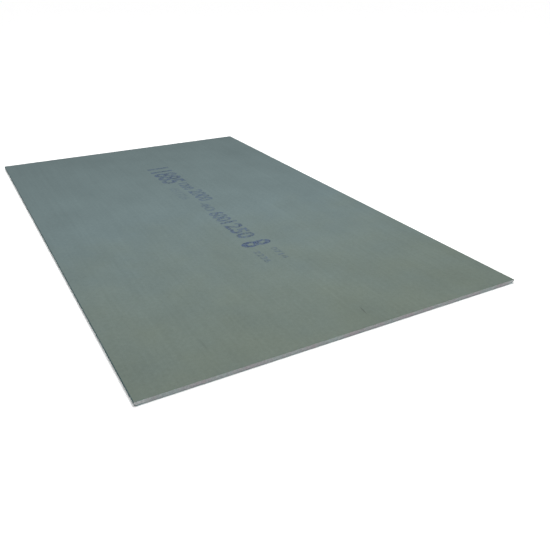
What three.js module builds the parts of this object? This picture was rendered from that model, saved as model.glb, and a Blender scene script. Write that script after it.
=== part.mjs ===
// Moisture-resistant plasterboard: a gypsum core cast between two paper liners.
//
// The sheet lies face down. The coloured face liner is underneath: one web of paper that turns up
// round both long edges and folds in over the back. The grey-green back liner is on top, glued
// over those flaps, nearly out to the edges. The two short ends are cut square, so all three
// layers show there.
//
// Millimetres, +Z up. X is the width and Y the length. The origin is the middle of the underside.

import * as THREE from "three";

// The sheet as it is sold
const sheet_width = 1200;
const sheet_length = 2000;
const sheet_thickness = 12.5;

// The two webs of paper
const face_liner_thickness = 0.4;
const back_liner_thickness = 0.4;

// The long edges: a shallow taper on the face side, then a round nose up to an upright lip
const taper_width = 50;
const taper_depth = 0.8;
const nose_radius = 8;
const least_lip = 0.5;

// The fold over the back, how far in the back liner ends beside it, and how far it laps the flap
const core_corner_radius = 0.8;
const back_liner_setback = 1.5;
const glued_lap = 20;

// Flat facets in each round stretch
const arc_facets = 12;

// Levels and places that follow from the sizes above
const half_width = sheet_width / 2;
const back_level = sheet_thickness - back_liner_thickness;
const fold_radius = core_corner_radius + face_liner_thickness;
const taper_start = half_width - taper_width;
const taper_angle = Math.atan2(taper_depth, taper_width);
const back_liner_edge = half_width - back_liner_setback;
const flap_end = back_liner_edge - glued_lap;

// The nose touches the taper below and the upright lip outside, so it can't be rounder than the
// sheet is thick
const nose_room = back_level - fold_radius - least_lip - taper_depth;
const roundest_nose = nose_room / (1 / Math.cos(taper_angle) - Math.tan(taper_angle));
const nose = Math.min(nose_radius, roundest_nose);
const nose_centre = new THREE.Vector2(
  half_width - nose,
  Math.tan(taper_angle) * (taper_width - nose) + nose / Math.cos(taper_angle),
);
const fold_centre = new THREE.Vector2(half_width - fold_radius, back_level - fold_radius);

function arc(centre, radius, from, to) {
  return new THREE.EllipseCurve(centre.x, centre.y, radius, radius, from, to).getPoints(arc_facets);
}

// The right-hand edge as it is cut across, from the start of the taper round to the end of the
// flap. Inset 0 is the outside of the face liner, and its own thickness the surface glued to the core.
function edge_outline(inset) {
  return [
    new THREE.Vector2(taper_start - inset * Math.tan(taper_angle / 2), inset),
    ...arc(nose_centre, nose - inset, taper_angle - Math.PI / 2, 0),
    ...arc(fold_centre, fold_radius - inset, 0, Math.PI / 2),
    new THREE.Vector2(flap_end, back_level - inset),
  ];
}

// The left-hand edge has the same points mirrored, in the order that carries on from the right
function with_left_edge(right_edge) {
  const left_edge = right_edge.map((point) => new THREE.Vector2(-point.x, point.y)).reverse();
  return [...right_edge, ...left_edge];
}

// One layer of the sheet: its outline across the width, carried along the whole length
function layer(name, outline, material) {
  const geometry = new THREE.ExtrudeGeometry(new THREE.Shape(outline), {
    depth: sheet_length,
    bevelEnabled: false,
  });
  const mesh = new THREE.Mesh(geometry, material);
  mesh.name = name;
  mesh.rotation.x = Math.PI / 2;
  mesh.position.y = sheet_length / 2;
  return mesh;
}

const outer_face = edge_outline(0);
const glued_face = edge_outline(face_liner_thickness);

// Set gypsum. It fills the folded face liner, and is level with the flaps at the back.
function gypsum_core() {
  const step_beside_flap = new THREE.Vector2(flap_end, back_level);
  const gypsum = new THREE.MeshStandardMaterial({ color: 0xb9bdbb, roughness: 0.95, metalness: 0 });
  return layer("gypsum_core", with_left_edge([...glued_face, step_beside_flap]), gypsum);
}

// One web of paper, from the end of one flap, down round the face, to the end of the other
function face_liner() {
  const right_edge = [...outer_face, ...[...glued_face].reverse()];
  const paper = new THREE.MeshStandardMaterial({ color: 0x6ba6a8, roughness: 0.8, metalness: 0 });
  return layer("face_liner", with_left_edge(right_edge), paper);
}

// A flat web of paper over the core and over most of both flaps
function back_liner() {
  const right_edge = [
    new THREE.Vector2(back_liner_edge, back_level),
    new THREE.Vector2(back_liner_edge, sheet_thickness),
  ];
  const paper = new THREE.MeshStandardMaterial({ color: 0x71807a, roughness: 0.85, metalness: 0 });
  return layer("back_liner", with_left_edge(right_edge), paper);
}

const plasterboard = new THREE.Group();
plasterboard.name = "plasterboard";
plasterboard.add(gypsum_core(), face_liner(), back_liner());

export default plasterboard;
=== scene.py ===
# Moisture-resistant plasterboard as it leaves the mill: foamed gypsum cast between two papers.
# It lies on its teal face, with the grey-green back up and a worn line of blue numbers along it.
# The face paper is folded up round both long edges, and the two ends are cut.
import math

import bmesh
import bpy
from mathutils import Color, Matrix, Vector, noise
import numpy as np


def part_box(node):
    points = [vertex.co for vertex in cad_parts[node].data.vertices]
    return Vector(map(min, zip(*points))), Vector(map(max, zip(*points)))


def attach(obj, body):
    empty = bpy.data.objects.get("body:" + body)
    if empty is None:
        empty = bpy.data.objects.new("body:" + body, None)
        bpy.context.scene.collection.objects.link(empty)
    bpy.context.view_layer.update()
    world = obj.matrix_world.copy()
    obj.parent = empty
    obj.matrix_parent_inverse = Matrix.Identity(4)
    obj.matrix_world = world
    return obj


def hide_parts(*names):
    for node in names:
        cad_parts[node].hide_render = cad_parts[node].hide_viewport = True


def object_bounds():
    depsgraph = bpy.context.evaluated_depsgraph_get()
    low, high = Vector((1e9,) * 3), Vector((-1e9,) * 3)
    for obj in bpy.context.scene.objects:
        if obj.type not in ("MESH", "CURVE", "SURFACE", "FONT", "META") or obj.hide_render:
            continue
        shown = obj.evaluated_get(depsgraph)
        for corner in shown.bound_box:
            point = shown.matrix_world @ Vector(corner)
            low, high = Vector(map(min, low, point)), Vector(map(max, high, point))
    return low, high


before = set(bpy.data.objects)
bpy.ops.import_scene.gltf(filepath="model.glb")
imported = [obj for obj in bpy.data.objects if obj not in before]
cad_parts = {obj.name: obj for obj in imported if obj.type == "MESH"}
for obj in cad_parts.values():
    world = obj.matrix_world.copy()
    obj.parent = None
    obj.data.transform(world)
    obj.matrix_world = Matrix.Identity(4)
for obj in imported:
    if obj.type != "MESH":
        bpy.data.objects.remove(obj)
cad_low, cad_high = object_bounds()
mm = 0.001  # Blender works in metres


# Camera
# It stands beyond the near left corner at about the height of a table, and looks down along the
# sheet towards the far right. The lens is a moderate wide angle, held level.
focal_length = 39.09  # on a sensor 36 mm wide
sideways_shift = 0.0109  # of the picture's width
heading = math.radians(29.05)  # to the right of the sheet's length
pitch = math.radians(27.23)  # below level
distance = 1853 * mm  # to the point of the back that is in the middle of the view
aim_left_of_middle = 43 * mm
aim_from_near_end = 390 * mm

aim = Vector(((cad_low.x + cad_high.x) / 2 - aim_left_of_middle, cad_low.y + aim_from_near_end, cad_high.z))
line_of_sight = Vector((math.sin(heading), math.cos(heading), 0)) * math.cos(pitch)
line_of_sight.z = -math.sin(pitch)
camera = bpy.data.objects.new("camera", bpy.data.cameras.new("camera"))
camera.data.lens = focal_length
camera.data.shift_x = sideways_shift
camera.location = aim - line_of_sight * distance
camera.rotation_euler = (math.pi / 2 - pitch, 0, -heading)
bpy.context.scene.collection.objects.link(camera)
bpy.context.scene.camera = camera


# Gypsum core
# Set gypsum, foamed to make it light and waxed against damp, cast as a long strip between the
# papers. The strip was cut when dry, so both ends are pitted and a little crumbly. Along the long
# edges the cut gypsum is paler. A knock has crushed the lower side of the near right corner.
longest_cell = 1.6 * mm
layers_of_cells = 9
recess = 0.25 * mm  # of the cut gypsum behind the cut papers
crumb_size = 5 * mm
crumb_depth = 0.5 * mm
chip_length = 38 * mm
chip_height = 13 * mm
chip_depth = 2.2 * mm
chip_reach = 3 * mm  # from the papers, beyond which none break out
chip_rarity = 0.22  # the noise above which a chip breaks out
crush_width = 25 * mm  # in from the long edge
crush_length = 30 * mm  # along it from the near end
crush_height = 6.8 * mm  # at the corner itself
sharpest_bend = math.radians(35)  # that still looks rounded
hair = 0.01 * mm
same_place = 6  # decimals of a metre, to which two corners are one


def cut_corners(node):
    """The corners of a node's section, from the near end: the right half, as (across, up)."""
    found = {
        (round(v.co.x, same_place), round(v.co.z, same_place))
        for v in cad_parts[node].data.vertices
        if v.co.y < cad_low.y + hair and v.co.x > 0
    }
    return sorted(found, key=lambda corner: (corner[0], -corner[1]))


def walk(stops, longest_step):
    """Places from the first stop to the last, through them all, and no further apart than a step."""
    places = [stops[0]]
    for start, end in zip(stops, stops[1:]):
        steps = max(1, math.ceil((end - start) / longest_step - hair))
        places += [start + (end - start) * (step + 1) / steps for step in range(steps)]
    return places


def both_sides(stops):
    """The stops on the right, and the same ones mirrored to the left."""
    return sorted({-stop for stop in stops} | set(stops))


def sheet_of_quads(across, along):
    """A flat sheet of quads with a column at each place across and a row at each place along."""
    sheet = bmesh.new()
    bmesh.ops.create_grid(sheet, x_segments=len(across) - 1, y_segments=len(along) - 1, size=0.5)
    for vertex in sheet.verts:
        vertex.co.x = across[round((vertex.co.x + 0.5) * (len(across) - 1))]
        vertex.co.y = along[round((vertex.co.y + 0.5) * (len(along) - 1))]
    return sheet


def pull_out(form, travel):
    """Extrudes a flat sheet into a solid and gives back the vertices of its new side."""
    pulled = bmesh.ops.extrude_face_region(form, geom=form.faces[:])["geom"]
    moved = [part for part in pulled if isinstance(part, bmesh.types.BMVert)]
    bmesh.ops.translate(form, verts=moved, vec=travel)
    return moved


def finish_piece(name, form, material):
    """Makes the mesh an object that rides on the sheet, smooth except at its creases."""
    bmesh.ops.recalc_face_normals(form, faces=form.faces[:])
    mesh = bpy.data.meshes.new(name)
    form.to_mesh(mesh)
    form.free()
    mesh.materials.append(material)
    mesh.shade_smooth()
    mesh.set_sharp_from_angle(angle=sharpest_bend)
    piece = bpy.data.objects.new(name, mesh)
    bpy.context.scene.collection.objects.link(piece)
    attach(piece, "root")
    return piece


core_corners = cut_corners("gypsum_core")
core_half_width = core_corners[-1][0]
lip_levels = [up for across, up in core_corners if across > core_half_width - hair]
lip_middle = sum(lip_levels) / len(lip_levels)
under_side = [corner for corner in core_corners if corner[1] < lip_middle]
upper_side = [corner for corner in core_corners if corner[1] > lip_middle]
core_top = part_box("gypsum_core")[1].z


def level_of(side, across):
    """How high one side of the section is at a place across it."""
    return np.interp(abs(across), [corner[0] for corner in side], [corner[1] for corner in side])


def ragged(place, size, octaves=3, fall_off=1, step=2):
    """A random share between 0 and 1 that changes from place to place, in patches of that size."""
    return 0.5 + 0.5 * noise.fractal(Vector(place) / size, fall_off, step, octaves)


def crumbled(across, up):
    """How far the cut gypsum has broken back, from its grain and from chips under the papers."""
    from_paper = min(up - level_of(under_side, across), level_of(upper_side, across) - up)
    chip = noise.noise(Vector((across / chip_length, up / chip_height, 0))) - chip_rarity
    broken = chip_depth * max(0, chip) * max(0, 1 - from_paper / chip_reach)
    return recess + crumb_depth * ragged((across, up, 0), crumb_size) + broken


def crush_corner(form):
    """Squeezes the lower side of the near right corner up towards the back."""
    for vertex in form.verts:
        from_edge = (cad_high.x - vertex.co.x) / crush_width
        from_end = (vertex.co.y - cad_low.y) / crush_length
        crushed_to = crush_height * max(0, 1 - from_edge) * max(0, 1 - from_end)
        whole_level = level_of(under_side, vertex.co.x)
        left = (core_top - max(whole_level, crushed_to)) / (core_top - whole_level)
        vertex.co.z = core_top - (core_top - vertex.co.z) * left


gypsum_form = sheet_of_quads(
    walk(both_sides([across for across, up in core_corners]), longest_cell),
    walk([0, 1], 1 / layers_of_cells),
)
for vertex in gypsum_form.verts:
    share = vertex.co.y
    low, high = level_of(under_side, vertex.co.x), level_of(upper_side, vertex.co.x)
    vertex.co = (vertex.co.x, cad_low.y, low + (high - low) * share)
near_cut = gypsum_form.verts[:]
far_cut = pull_out(gypsum_form, (0, cad_high.y - cad_low.y, 0))
for vertex in near_cut:
    vertex.co.y += crumbled(vertex.co.x, vertex.co.z)
for vertex in far_cut:
    vertex.co.y -= crumbled(vertex.co.x + cad_high.y, vertex.co.z)
bmesh.ops.bisect_plane(
    gypsum_form,
    geom=gypsum_form.verts[:] + gypsum_form.edges[:] + gypsum_form.faces[:],
    plane_co=(0, cad_low.y + crush_length, 0),
    plane_no=(0, 1, 0),
)
crush_corner(gypsum_form)


def paint(code):
    """An sRGB hex colour as the linear colour that a shader takes."""
    return (*Color([level / 255 for level in bytes.fromhex(code)]).from_srgb_to_scene_linear(), 1)


def add_node(tree, kind, inputs=None, output=None, **settings):
    """Adds a node with its settings and links, and gives back the output named, or else the first."""
    node = tree.nodes.new("ShaderNode" + kind)
    for name, value in settings.items():
        setattr(node, name, value)
    for name, source in (inputs or {}).items():
        by_name = [socket for socket in node.inputs if socket.enabled and socket.name == name]
        target = by_name[0] if by_name else node.inputs[name]
        if isinstance(source, bpy.types.NodeSocket):
            tree.links.new(source, target)
        else:
            target.default_value = source
    return next(socket for socket in node.outputs if socket.enabled and output in (None, socket.name))


def new_material(name):
    """A material with one principled surface, and that surface's inputs."""
    material = bpy.data.materials.new(name)
    material.use_nodes = True
    surface = material.node_tree.nodes["Principled BSDF"].inputs
    return material, material.node_tree, surface


def blend(tree, share, under, over, how="MIX"):
    """One colour laid over another by a share, in one of the ways of the Mix node."""
    return add_node(tree, "Mix", {"Factor": share, "A": under, "B": over}, data_type="RGBA", blend_type=how)


def mottle(tree, place, size, detail=3.0):
    """A cloudy pattern, grey in the middle, in patches of that size."""
    return add_node(tree, "TexNoise", {"Vector": place, "Scale": 1 / size, "Detail": detail})


def spread(tree, value, low, high, to_low=0.0, to_high=1.0):
    """A value between low and high spread evenly over another range, and held at its ends."""
    return add_node(tree, "MapRange", {
        "Value": value,
        "From Min": low,
        "From Max": high,
        "To Min": to_low,
        "To Max": to_high,
    })


# Foamed gypsum, cut dry: dead matt, pale grey with a mauve cast in places and a green one in
# others, and full of small pores where the blade opened the bubbles, painted darker inside as
# painted shade.
mauve_grey = paint("979396")
green_grey = paint("929c9b")
# A paler grey that the cut gypsum takes near the long edges.
pale_edge = paint("a9adad")
pale_edge_width = 45 * mm
patch_size = 70 * mm
green_patches = (0.35, 0.65)  # of the clouds, from where it is mauve to where it is green
grain_contrast = 0.5
grain_detail = 6.0
pore_size = 2.4 * mm  # real ones are under a millimetre, which would not show
pore_shade_strength = 0.35
pore_dark_to_rim = (0.1, 0.45)  # of a pore's size
pore_relief = 0.3 * mm
grain_relief = 0.4 * mm
chalky = 0.95

gypsum, tree, surface = new_material("foamed_gypsum_cut_dry")
surface["Roughness"].default_value = chalky
place = add_node(tree, "TexCoord", output="Object")
across = add_node(tree, "SeparateXYZ", {"Vector": place}, "X")
from_middle = add_node(tree, "Math", {0: across}, operation="ABSOLUTE")
at_edge = spread(
    tree, from_middle, core_half_width - pale_edge_width, core_half_width - pale_edge_width / 3
)
greenness = spread(tree, mottle(tree, place, patch_size), *green_patches)
grain = mottle(tree, place, crumb_size, grain_detail)
pores = add_node(tree, "TexVoronoi", {"Vector": place, "Scale": 1 / pore_size})
pore_rim = spread(tree, pores, *pore_dark_to_rim)
set_gypsum = blend(tree, at_edge, blend(tree, greenness, mauve_grey, green_grey), pale_edge)
grainy = blend(tree, grain_contrast, set_gypsum, grain, "SOFT_LIGHT")
# The pores are multiplied darker: painted shade in the hollows of the bubbles.
tree.links.new(blend(tree, pore_shade_strength, grainy, pore_rim, "MULTIPLY"), surface["Base Color"])
tree.links.new(add_node(tree, "Bump", {
    "Distance": pore_relief,
    "Height": pore_rim,
    "Normal": add_node(tree, "Bump", {"Distance": grain_relief, "Height": grain}),
}), surface["Normal"])

core = finish_piece("cast_gypsum", gypsum_form, gypsum)
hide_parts("gypsum_core")


# Face paper
# One web of teal paper board, glued on by the gypsum as it set. It covers the face, turns up round
# both long edges, and its flaps lie folded in over the back. A knife cut it square at both ends.
fold_step = 4 * mm
row_step = 60 * mm
end_row = 2 * mm
fray_size = 7 * mm
fray_depth = 0.35 * mm

face_paper_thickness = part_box("gypsum_core")[0].z - cad_low.z
flap = [corner for corner in reversed(upper_side) if corner[1] < core_top - hair]
glued = [(0, under_side[0][1]), *under_side, *flap]
glued_walk = np.cumsum([0] + [math.dist(a, b) for a, b in zip(glued, glued[1:])])


def fray(across, end):
    """How far the cut edge of a paper is worn back, by loose fibres at that end."""
    return fray_depth * ragged((across, end, 0), fray_size)


def fray_ends(form):
    """Wears both cut edges of a paper back by a different amount at each place."""
    for vertex in form.verts:
        for end, inwards in ((cad_low.y, 1), (cad_high.y, -1)):
            if abs(vertex.co.y - end) < hair:
                vertex.co.y = end + inwards * fray(vertex.co.x + vertex.co.z, end)


row_stops = [cad_low.y, cad_low.y + end_row, cad_low.y + crush_length, cad_high.y - end_row, cad_high.y]
rows = walk(row_stops, row_step)
face_form = sheet_of_quads(walk(both_sides([float(stop) for stop in glued_walk]), fold_step), rows)
for vertex in face_form.verts:
    side = math.copysign(1, vertex.co.x)
    along_wrap = abs(vertex.co.x)
    vertex.co.x = side * np.interp(along_wrap, glued_walk, [corner[0] for corner in glued])
    vertex.co.z = np.interp(along_wrap, glued_walk, [corner[1] for corner in glued])
bmesh.ops.recalc_face_normals(face_form, faces=face_form.faces[:])
fray_ends(face_form)
bmesh.ops.solidify(face_form, geom=face_form.faces[:], thickness=-face_paper_thickness)
crush_corner(face_form)

# Dyed paper board, smooth from the press rolls: an even teal with a faint cloudiness of fibres and
# a dull sheen. Round the long edges it is painted darker: painted shade on the folded edges, which
# face away from the light.
teal = paint("5b8a8d")
teal_pale = paint("699698")
# A dark teal laid round the long edges as painted shade.
painted_shade_teal = paint("2c4647")
edge_shade_from = 9 * mm  # inside the long edge
edge_shade_to = 3 * mm
cloud_size = 14 * mm
fibre_width = 1.2 * mm
fibre_relief = 0.03 * mm
fibre_stretch = 0.3  # of the pattern's scale, along the sheet
cloud_detail = 5.0
board_gloss = 0.35
board_roughness = (0.64, 0.8)

teal_board, tree, surface = new_material("teal_paper_board")
surface["Specular IOR Level"].default_value = board_gloss
place = add_node(tree, "TexCoord", output="Object")
across = add_node(tree, "SeparateXYZ", {"Vector": place}, "X")
from_middle = add_node(tree, "Math", {0: across}, operation="ABSOLUTE")
# Painted shade: how far the teal is darkened, rising towards each long edge.
edge_shade_share = spread(tree, from_middle, cad_high.x - edge_shade_from, cad_high.x - edge_shade_to)
along_fibres = add_node(tree, "Mapping", {"Vector": place, "Scale": (1, fibre_stretch, 1)})
clouds = mottle(tree, along_fibres, cloud_size, cloud_detail)
dyed = blend(tree, clouds, teal, teal_pale)
tree.links.new(blend(tree, edge_shade_share, dyed, painted_shade_teal), surface["Base Color"])
tree.links.new(spread(tree, clouds, 0.0, 1.0, *board_roughness), surface["Roughness"])
tree.links.new(
    add_node(tree, "Bump", {"Distance": fibre_relief, "Height": mottle(tree, along_fibres, fibre_width)}),
    surface["Normal"],
)

face_paper = finish_piece("folded_face_paper", face_form, teal_board)
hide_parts("face_liner")


# Back paper
# A flat web of grey-green recycled paper board, glued over the flaps of the face paper and ending
# just inside the long edges. It stands a little proud over the flaps, and has a few scuffs.
back_low, back_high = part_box("back_liner")
flap_end = flap[-1][0]
ridge_width = 4 * mm
sunk_inside_flaps = 0.14 * mm
cockle_size = 330 * mm
cockle_depth = 0.07 * mm
cockle_cast = 3  # which of the random patterns it takes
column_step = 5 * mm
back_row_step = 25 * mm


def back_level(across, along):
    """The level of the back, which is lower between the flaps and cockled by the wet gypsum."""
    over_flap = np.clip((abs(across) - flap_end) / ridge_width + 0.5, 0, 1)
    inside = 1 - over_flap * over_flap * (3 - 2 * over_flap)
    cockle = 0.5 + 0.5 * noise.noise(Vector((across, along, cockle_cast)) / cockle_size)
    return back_high.z - inside * (sunk_inside_flaps - cockle_depth * cockle)


ridge_stops = [flap_end - ridge_width / 2, flap_end, flap_end + ridge_width / 2, back_high.x]
back_form = sheet_of_quads(
    walk(both_sides(ridge_stops), column_step),
    walk([cad_low.y, cad_low.y + end_row, cad_high.y - end_row, cad_high.y], back_row_step),
)
for vertex in back_form.verts:
    vertex.co.z = back_low.z
fray_ends(back_form)
for vertex in pull_out(back_form, (0, 0, back_high.z - back_low.z)):
    vertex.co.z = back_level(vertex.co.x, vertex.co.y)


# Recycled paper board, unsized and matt: a grey green with cloudy fibres, faint streaks along the
# machine's direction and small flecks. A painted bluish reflection makes it blue-grey from the
# middle to the far end, and it turns to its own greener colour towards the near end.
# The blue-grey is the paper with a painted bluish reflection of the light above; the moss grey is its own
# colour.
reflection_blue_grey = paint("566465")
moss_grey = paint("5a645c")
reflection_gone_at = -1000 * mm  # from the middle, where it is still blue-grey
drift_cloud = 160 * mm
drift_wander = 700 * mm  # how unevenly the colour turns
streak_stretch = 0.02
# Each pattern: its size, whether it is streaked along the sheet, and how strongly it shows
paper_patterns = (
    (190 * mm, False, 0.14),
    (11 * mm, False, 0.12),
    (9 * mm, True, 0.08),
    (2.2 * mm, False, 0.2),
)


def bare_back_paper(tree):
    """The colour of the back paper where nothing is printed on it, with its painted bluish reflection."""
    place = add_node(tree, "TexCoord", output="Object")
    along = add_node(tree, "SeparateXYZ", {"Vector": place}, "Y")
    wander = spread(tree, mottle(tree, place, drift_cloud), 0.0, 1.0, -drift_wander / 2, drift_wander / 2)
    turned = add_node(tree, "Math", {0: along, 1: wander}, operation="ADD")
    tone = blend(tree, spread(tree, turned, 0.0, reflection_gone_at), reflection_blue_grey, moss_grey)
    streaked = add_node(tree, "Mapping", {"Vector": place, "Scale": (1, streak_stretch, 1)})
    for size, is_streaked, strength in paper_patterns:
        pattern = mottle(tree, streaked if is_streaked else place, size)
        tone = blend(tree, strength, tone, pattern, "SOFT_LIGHT")
    return tone


# A short scratch near the near end, and a long faint rub mark to the left of it. Each: where its
# middle is, across and along, its length, its width, its turn in degrees, and how much of the worn
# colour shows
scuffs = (
    ((82 * mm, -925 * mm), 54 * mm, 5 * mm, -9, 0.9),
    ((-375 * mm, -868 * mm), 80 * mm, 9 * mm, 0, 0.25),
)
worn_grey = paint("454c48")
scratch_depth = 0.15 * mm
tooth_size = 2.2 * mm
tooth_relief = 0.05 * mm
tooth_detail = 4.0
scuff_rim = 0.6  # of the way in from its outline, where it is fully worn
matt_gloss = 0.25
matt_roughness = (0.78, 0.92)


def scuff_mark(tree, place, middle, length, width, turn):
    """Where a scuff is: 1 along its middle, and 0 at its outline and beyond."""
    on_scuff = add_node(tree, "Mapping", {
        "Vector": place,
        "Location": (*middle, 0),
        "Rotation": (0, 0, math.radians(turn)),
        "Scale": (width / 2, length / 2, 1),
    }, vector_type="TEXTURE")
    from_rim = add_node(tree, "TexGradient", {"Vector": on_scuff}, "Fac", gradient_type="SPHERICAL")
    return spread(tree, from_rim, 0.0, scuff_rim)


grey_board, tree, surface = new_material("grey_green_recycled_board")
surface["Specular IOR Level"].default_value = matt_gloss
place = add_node(tree, "TexCoord", output="Object")
tooth = mottle(tree, place, tooth_size, tooth_detail)
relief = add_node(tree, "Bump", {"Distance": tooth_relief, "Height": tooth})
tone = bare_back_paper(tree)
for middle, length, width, turn, wear in scuffs:
    mark = scuff_mark(tree, place, middle, length, width, turn)
    tone = blend(tree, spread(tree, mark, 0.0, 1.0, 0.0, wear), tone, worn_grey)
    relief = add_node(tree, "Bump", {
        "Distance": scratch_depth * wear,
        "Height": mark,
        "Normal": relief,
    }, invert=True)
tree.links.new(tone, surface["Base Color"])
tree.links.new(spread(tree, tooth, 0.0, 1.0, *matt_roughness), surface["Roughness"])
tree.links.new(relief, surface["Normal"])

back_paper = finish_piece("back_paper", back_form, grey_board)
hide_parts("back_liner")


# Printed numbers
# Plain numbers rolled on in blue ink as the sheet ran by, so they read along it, in letters of
# several sizes. The paper soaked up the ink unevenly, and handling has rubbed some of it away.
film = 0.03 * mm
ink_cell = 20 * mm
# Each number: the digits, where it starts along the sheet, its length, the middle of it across the
# sheet, its height and the share of the ink that is left, with the sizes in millimetres
numbers = (
    ("11885", 615, 240, 30, 105, 0.9),
    ("1200", 355, 95, 52, 45, 0.8),
    ("2000", 240, 140, 62, 62, 0.75),
    ("031726", 310, 160, -8, 40, 0.3),
    ("40", 80, 100, 30, 40, 0.6),
    ("600", -40, 100, 32, 62, 0.85),
    ("1250", -150, 170, 35, 68, 0.85),
    ("8", -355, 45, 35, 110, 1.0),
    ("0714", -435, 95, 68, 24, 0.5),
    ("2236", -435, 95, 3, 24, 0.5),
)
boldness = 0.03  # of the letter height


def number_mesh(digits):
    """The digits as a flat mesh, in letters about one metre high."""
    curve = bpy.data.curves.new("digits", "FONT")
    curve.body = digits
    curve.offset = boldness
    writing = bpy.data.objects.new("digits", curve)
    bpy.context.scene.collection.objects.link(writing)
    bpy.context.view_layer.update()
    mesh = bpy.data.meshes.new_from_object(writing.evaluated_get(bpy.context.evaluated_depsgraph_get()))
    bpy.data.objects.remove(writing)
    bpy.data.curves.remove(curve)
    return mesh


ink_form = bmesh.new()
ink_left = ink_form.verts.layers.float.new("ink_left")
for digits, start, length, middle, height, left in numbers:
    written = number_mesh(digits)
    xs = [v.co.x for v in written.vertices]
    ys = [v.co.y for v in written.vertices]
    already = len(ink_form.verts)
    ink_form.from_mesh(written)
    bpy.data.meshes.remove(written)
    ink_form.verts.ensure_lookup_table()
    for vertex in ink_form.verts[already:]:
        read_along = (vertex.co.x - min(xs)) / (max(xs) - min(xs))
        read_up = (vertex.co.y - min(ys)) / (max(ys) - min(ys)) - 0.5
        vertex.co = ((middle + height * read_up) * mm, (start - length * read_along) * mm, 0)
        vertex[ink_left] = left
bmesh.ops.remove_doubles(ink_form, verts=ink_form.verts[:], dist=hair)
for cut in walk([cad_low.y, cad_high.y], ink_cell):
    everything = ink_form.verts[:] + ink_form.edges[:] + ink_form.faces[:]
    bmesh.ops.bisect_plane(ink_form, geom=everything, plane_co=(0, cut, 0), plane_no=(0, 1, 0))
pull_out(ink_form, (0, 0, -film))
for vertex in ink_form.verts:
    vertex.co.z += back_level(vertex.co.x, vertex.co.y) + film

# Blue roller ink on soft paper: matt, darker where it ran together, and with the colour of the
# paper showing where it is thin or rubbed away.
ink_blue = paint("3a4963")
ink_blot = paint("222c38")
blot_size = 5 * mm
rub_size = 8 * mm
rubbed_share = 0.3  # of the ink, left where it is rubbed most
rub_detail = 4.0
rubbed_to_whole = (0.38, 0.58)  # of the rub pattern
thin_to_blot = (0.45, 0.62)  # of the blot pattern
ink_roughness = 0.8
ink_gloss = 0.25

ink, tree, surface = new_material("blue_roller_ink")
surface["Roughness"].default_value = ink_roughness
surface["Specular IOR Level"].default_value = ink_gloss
place = add_node(tree, "TexCoord", output="Object")
left = add_node(tree, "Attribute", output="Fac", attribute_name="ink_left")
rubbed = add_node(tree, "Math", {0: left, 1: rubbed_share}, operation="MULTIPLY")
thickness = spread(tree, mottle(tree, place, rub_size, rub_detail), *rubbed_to_whole, rubbed, left)
blots = spread(tree, mottle(tree, place, blot_size), *thin_to_blot)
wet_ink = blend(tree, blots, ink_blue, ink_blot)
tree.links.new(blend(tree, thickness, bare_back_paper(tree), wet_ink), surface["Base Color"])

print_piece = finish_piece("blue_numbers", ink_form, ink)


# Floor and light
# A plain white studio floor under a soft ceiling, which is brightest overhead, and one large lamp
# above the middle of the sheet.
floor_half_size = 60  # metres
floor_gap = 0.1 * mm
floor_white = paint("fcfcfc")
floor_roughness = 0.9

floor_form = bmesh.new()
bmesh.ops.create_grid(floor_form, x_segments=1, y_segments=1, size=floor_half_size)
bmesh.ops.translate(floor_form, verts=floor_form.verts[:], vec=(0, 0, cad_low.z - floor_gap))
white_floor, tree, surface = new_material("white_studio_floor")
surface["Roughness"].default_value = floor_roughness
surface["Base Color"].default_value = floor_white
floor_mesh = bpy.data.meshes.new("floor")
floor_form.to_mesh(floor_mesh)
floor_form.free()
floor_mesh.materials.append(white_floor)
floor = bpy.data.objects.new("floor", floor_mesh)
bpy.context.scene.collection.objects.link(floor)

studio_white = paint("ffffff")
ceiling_edge = 0.1  # brightness of the ceiling near the horizon
ceiling_top = 3.0  # and straight above
ceiling_focus = 4.0  # how quickly it brightens towards the top
world = bpy.data.worlds.new("studio")
bpy.context.scene.world = world
world.use_nodes = True
tree = world.node_tree
upwards = add_node(tree, "SeparateXYZ", {"Vector": add_node(tree, "TexCoord", output="Generated")}, "Z")
overhead = add_node(tree, "Math", {0: upwards, 1: ceiling_focus}, operation="POWER")
brightness = spread(tree, overhead, 0.0, 1.0, ceiling_edge, ceiling_top)
light_of_ceiling = tree.nodes["Background"]
tree.links.new(brightness, light_of_ceiling.inputs["Strength"])
light_of_ceiling.inputs["Color"].default_value = studio_white
backdrop = add_node(tree, "Background", {"Color": studio_white})
seen = add_node(tree, "LightPath", output="Is Camera Ray")
tree.links.new(
    add_node(tree, "MixShader", {0: seen, 1: light_of_ceiling.outputs[0], 2: backdrop}),
    tree.nodes["World Output"].inputs["Surface"],
)

lamp_size = 1000 * mm
lamp_place = Vector((100, -220, 1800)) * mm
lamp_power = 23  # watts
lamp = bpy.data.objects.new("lamp", bpy.data.lights.new("lamp", "AREA"))
lamp.data.size = lamp_size
lamp.data.energy = lamp_power
lamp.location = lamp_place
lamp.visible_camera = False
bpy.context.scene.collection.objects.link(lamp)
bpy.context.scene.view_settings.view_transform = "Standard"
